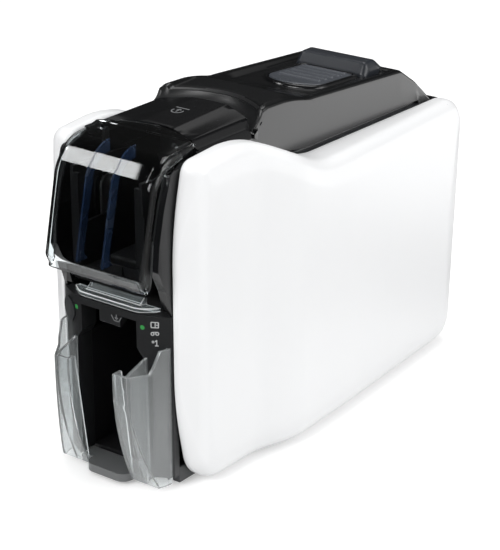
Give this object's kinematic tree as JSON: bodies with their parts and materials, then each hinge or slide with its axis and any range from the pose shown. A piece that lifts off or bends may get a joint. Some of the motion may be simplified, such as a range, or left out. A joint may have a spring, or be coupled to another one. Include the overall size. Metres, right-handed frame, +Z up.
{
  "type": "id card printer",
  "caption": "Desktop card printer with a clear card feeder door, a hinged top cover with a release button, and an output hopper between clear wings.",
  "frame": {"origin": "middle of the overall box, on the plane of the feet", "axes": "+Z up, front with the card slots towards -Y, +X to the right as seen from the front"},
  "size_m": [0.1558, 0.3646, 0.2467],
  "materials": {
    "white_shell": "satin moulded",
    "dark_shell": "fine satin grain",
    "dark_gloss": "glossy moulded",
    "clear_smoke": "clear tinted plastic",
    "lamp_clear": "clear light pipe",
    "black_inner": "matte moulded",
    "ribbon_frame": "matte moulded",
    "ribbon_dye": "thin coated film",
    "black_rubber": "moulded rubber",
    "frame_steel": "zinc plated sheet",
    "shaft_steel": "ground",
    "gear_plastic": "moulded acetal",
    "bush_bronze": "sintered",
    "head_metal": "extruded",
    "head_body": "ceramic and resin",
    "motor_case": "plated can",
    "board_green": "solder mask",
    "socket_body": "moulded",
    "socket_metal": "tinned"
  },
  "bodies": {
    "chassis": {"base_tray": "dark_shell", "rubber_feet": "black_rubber", "left_side_cover": "white_shell", "right_side_cover": "white_shell", "rear_cover": "dark_shell", "front_bezel": "dark_shell", "light_pipes": "lamp_clear", "manual_feed_lip": "clear_smoke", "output_hopper": "black_inner", "left_hopper_wing": "clear_smoke", "right_hopper_wing": "clear_smoke", "front_cap": "dark_gloss", "door_hinge_pins": "shaft_steel", "cover_hinge_pins": "shaft_steel", "left_frame_plate": "frame_steel", "right_frame_plate": "frame_steel", "frame_bars": "frame_steel", "shaft_bushes": "bush_bronze", "cover_screws": "frame_steel", "cover_sills": "dark_shell", "circuit_board": "board_green", "power_inlet": "socket_body", "usb_socket": "socket_metal", "card_hopper": "black_inner", "idler_studs": "shaft_steel", "drive_motor": "motor_case", "card_guide_plate": "black_inner", "ribbon_cartridge": "ribbon_frame", "ribbon_film": "ribbon_dye"},
    "door": {"feeder_door": "clear_smoke", "door_ribs": "clear_smoke"},
    "cover": {"top_cover": "dark_shell", "cover_liner": "black_inner", "print_head_bracket": "head_metal", "print_head": "head_body", "button_spring": "shaft_steel"},
    "cover_button": {"release_button": "dark_gloss"},
    "latch": {"cover_latch": "black_inner"},
    "power_key": {"power_button": "dark_shell"},
    "hopper_weight": {"card_weight": "black_inner"},
    "motor_rotor": {"motor_pinion": "shaft_steel"},
    "pick": {"pick_shaft": "shaft_steel", "pick_roller": "black_rubber"},
    "front_feed": {"front_feed_shaft": "shaft_steel", "front_feed_roller": "black_rubber"},
    "platen": {"platen_shaft": "shaft_steel", "platen_roller": "black_rubber"},
    "rear_feed": {"rear_feed_shaft": "shaft_steel", "rear_feed_roller": "black_rubber"},
    "exit": {"exit_shaft": "shaft_steel", "exit_roller": "black_rubber"},
    "front_idler": {"front_idler_gear": "gear_plastic"},
    "rear_idler": {"rear_idler_gear": "gear_plastic"},
    "link": {"link_gear": "gear_plastic"},
    "cleaner": {"cleaning_roller": "black_rubber"},
    "pinch": {"pinch_roller": "black_rubber"},
    "supply": {"supply_spool": "ribbon_frame", "supply_ribbon_roll": "ribbon_dye"},
    "take_up": {"take_up_spool": "ribbon_frame", "take_up_ribbon_roll": "ribbon_dye"}
  },
  "joints": [
    {"name": "door_hinge", "type": "hinge", "parent": "chassis", "child": "door", "pos_m": [0, -0.126, 0.2323], "axis": [-1, 0, 0], "range_deg": [0, 80]},
    {"name": "cover_hinge", "type": "hinge", "parent": "chassis", "child": "cover", "pos_m": [0, 0.158, 0.1946], "axis": [-1, 0, 0], "range_deg": [0, 75]},
    {"name": "release_press", "type": "slide", "parent": "cover", "child": "cover_button", "axis": [0, 0, -1], "range_m": [0, 0.003], "stiffness_N_per_m": 900, "springref_m": -0.0015, "deforming": ["button_spring"]},
    {"name": "latch_swing", "type": "hinge", "parent": "cover", "child": "latch", "pos_m": [0, 0.06, 0.219], "axis": [1, 0, 0], "range_deg": [0, 13.3]},
    {"name": "power_press", "type": "slide", "parent": "chassis", "child": "power_key", "axis": [0, 1, 0], "range_m": [0, 0.0012], "stiffness_N_per_m": 800, "springref_m": -0.0006},
    {"name": "weight_slide", "type": "slide", "parent": "chassis", "child": "hopper_weight", "axis": [0, 0, 1], "range_m": [0, 0.055]},
    {"name": "platen_spin", "type": "hinge", "parent": "chassis", "child": "platen", "pos_m": [0, 0, 0.132], "axis": [1, 0, 0], "continuous": true},
    {"name": "motor_spin", "type": "hinge", "parent": "chassis", "child": "motor_rotor", "pos_m": [0, 0.02875, 0.10825], "axis": [1, 0, 0], "continuous": true},
    {"name": "rear_idler_spin", "type": "hinge", "parent": "chassis", "child": "rear_idler", "pos_m": [0, 0.02875, 0.132], "axis": [1, 0, 0], "continuous": true},
    {"name": "front_idler_spin", "type": "hinge", "parent": "chassis", "child": "front_idler", "pos_m": [0, -0.02875, 0.132], "axis": [1, 0, 0], "continuous": true},
    {"name": "rear_feed_spin", "type": "hinge", "parent": "chassis", "child": "rear_feed", "pos_m": [0, 0.0575, 0.132], "axis": [1, 0, 0], "continuous": true},
    {"name": "front_feed_spin", "type": "hinge", "parent": "chassis", "child": "front_feed", "pos_m": [0, -0.0575, 0.132], "axis": [1, 0, 0], "continuous": true},
    {"name": "link_spin", "type": "hinge", "parent": "chassis", "child": "link", "pos_m": [0, -0.0775, 0.132], "axis": [1, 0, 0], "continuous": true},
    {"name": "pick_spin", "type": "hinge", "parent": "chassis", "child": "pick", "pos_m": [0, -0.0975, 0.132], "axis": [1, 0, 0], "continuous": true},
    {"name": "exit_spin", "type": "hinge", "parent": "chassis", "child": "exit", "pos_m": [0, -0.1084, 0.1095], "axis": [1, 0, 0], "continuous": true},
    {"name": "cleaner_spin", "type": "hinge", "parent": "chassis", "child": "cleaner", "pos_m": [0, -0.0575, 0.1465], "axis": [1, 0, 0], "continuous": true},
    {"name": "pinch_spin", "type": "hinge", "parent": "chassis", "child": "pinch", "pos_m": [0, 0.0575, 0.1465], "axis": [1, 0, 0], "continuous": true},
    {"name": "supply_spin", "type": "hinge", "parent": "chassis", "child": "supply", "pos_m": [0, 0.056, 0.174], "axis": [1, 0, 0], "continuous": true},
    {"name": "take_up_spin", "type": "hinge", "parent": "chassis", "child": "take_up", "pos_m": [0, -0.044, 0.172], "axis": [1, 0, 0], "continuous": true}
  ],
  "couplings": [
    {"joint": "latch_swing", "follows": "release_press", "rad_per_m": 76.923},
    {"joint": "motor_spin", "follows": "platen_spin", "ratio": 1.6667},
    {"joint": "rear_idler_spin", "follows": "platen_spin", "ratio": -0.76923},
    {"joint": "front_idler_spin", "follows": "platen_spin", "ratio": -0.76923},
    {"joint": "rear_feed_spin", "follows": "platen_spin", "ratio": 1},
    {"joint": "front_feed_spin", "follows": "platen_spin", "ratio": 1},
    {"joint": "link_spin", "follows": "platen_spin", "ratio": -1.6667},
    {"joint": "pick_spin", "follows": "platen_spin", "ratio": 1},
    {"joint": "exit_spin", "follows": "platen_spin", "ratio": -1}
  ]
}
